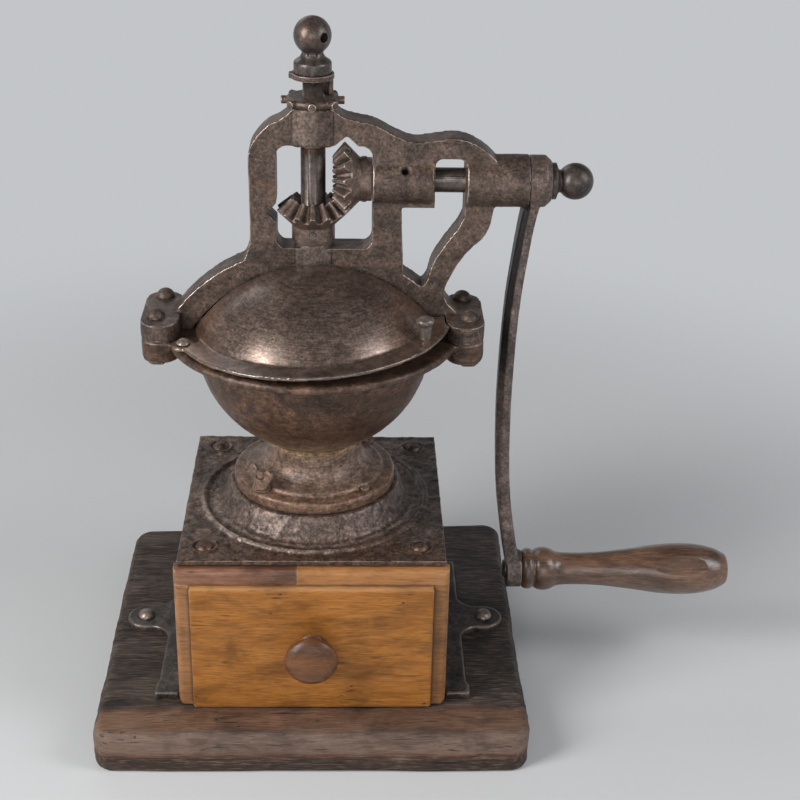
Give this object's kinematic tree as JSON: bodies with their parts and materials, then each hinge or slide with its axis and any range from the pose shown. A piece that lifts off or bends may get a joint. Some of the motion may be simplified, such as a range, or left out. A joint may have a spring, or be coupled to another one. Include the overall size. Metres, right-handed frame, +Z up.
{
  "type": "manual coffee grinder",
  "caption": "Counter coffee mill with a cast bowl, bevel gear drive in an open bridge, side crank with a wooden grip, swinging lid and drawer on a wooden board.",
  "frame": {"origin": "where the spindle's axis meets the table, at the base board's underside", "axes": "+X to the crank's side, +Y to the back, +Z up along the spindle"},
  "size_m": [0.454, 0.279, 0.4902],
  "materials": {
    "board_wood": "dark weathered wood",
    "honey_wood": "waxed honey-coloured wood",
    "turned_wood": "worn varnished turned wood",
    "patch_wood": "stained wood",
    "cast_iron": "brown-black patina",
    "steel": "darkened steel"
  },
  "bodies": {
    "frame": {"base_board": "board_wood", "case": "cast_iron", "board_screws": "steel", "top_plate": "cast_iron", "plate_screws": "steel", "hopper": "cast_iron", "outer_burr": "steel", "foot_studs": "steel", "foot_washers": "steel", "wing_nuts": "steel", "foot_dowels": "steel", "bridge": "cast_iron", "bridge_bolts": "steel", "bridge_nuts": "steel", "rear_cover": "cast_iron", "cover_screws": "steel", "lid_pivot": "steel"},
    "lid": {"lid": "cast_iron", "lid_peg": "steel"},
    "drawer": {"drawer_front": "honey_wood", "drawer_patch": "patch_wood", "drawer_left": "honey_wood", "drawer_right": "honey_wood", "drawer_back": "honey_wood", "drawer_bottom": "honey_wood", "drawer_knob": "turned_wood", "knob_screw": "steel"},
    "spindle": {"spindle": "steel", "spindle_gear": "cast_iron", "spindle_pin": "steel", "inner_burr": "steel", "burr_washer": "steel", "burr_nut": "steel"},
    "adjuster": {"adjusting_nut": "cast_iron", "lock_plate": "steel", "ball_finial": "cast_iron"},
    "crank": {"crank_shaft": "steel", "crank_gear": "cast_iron", "crank_pin": "steel", "crank_arm": "cast_iron", "ball_nut": "cast_iron", "grip_pin": "steel"},
    "grip": {"grip": "turned_wood"}
  },
  "joints": [
    {"name": "crank_turn", "type": "hinge", "parent": "frame", "child": "crank", "pos_m": [0, 0, 0.385], "axis": [1, 0, 0], "continuous": true},
    {"name": "spindle_turn", "type": "hinge", "parent": "frame", "child": "spindle", "pos_m": [0, 0, 0.385], "axis": [0, 0, 1], "continuous": true},
    {"name": "grip_spin", "type": "hinge", "parent": "crank", "child": "grip", "pos_m": [0.152, 0, 0.086], "axis": [1, 0, 0], "continuous": true},
    {"name": "adjuster_turn", "type": "hinge", "parent": "spindle", "child": "adjuster", "pos_m": [0, 0, 0.4344], "axis": [0, 0, 1], "range_deg": [-180, 180]},
    {"name": "lid_swing", "type": "hinge", "parent": "frame", "child": "lid", "pos_m": [-0.084, -0.042, 0.2828], "axis": [-0.0506, 0, 0.9987], "range_deg": [-110, 0]},
    {"name": "drawer_slide", "type": "slide", "parent": "frame", "child": "drawer", "axis": [0, -1, 0], "range_m": [0, 0.13]}
  ],
  "couplings": [
    {"joint": "spindle_turn", "follows": "crank_turn", "ratio": 1}
  ]
}
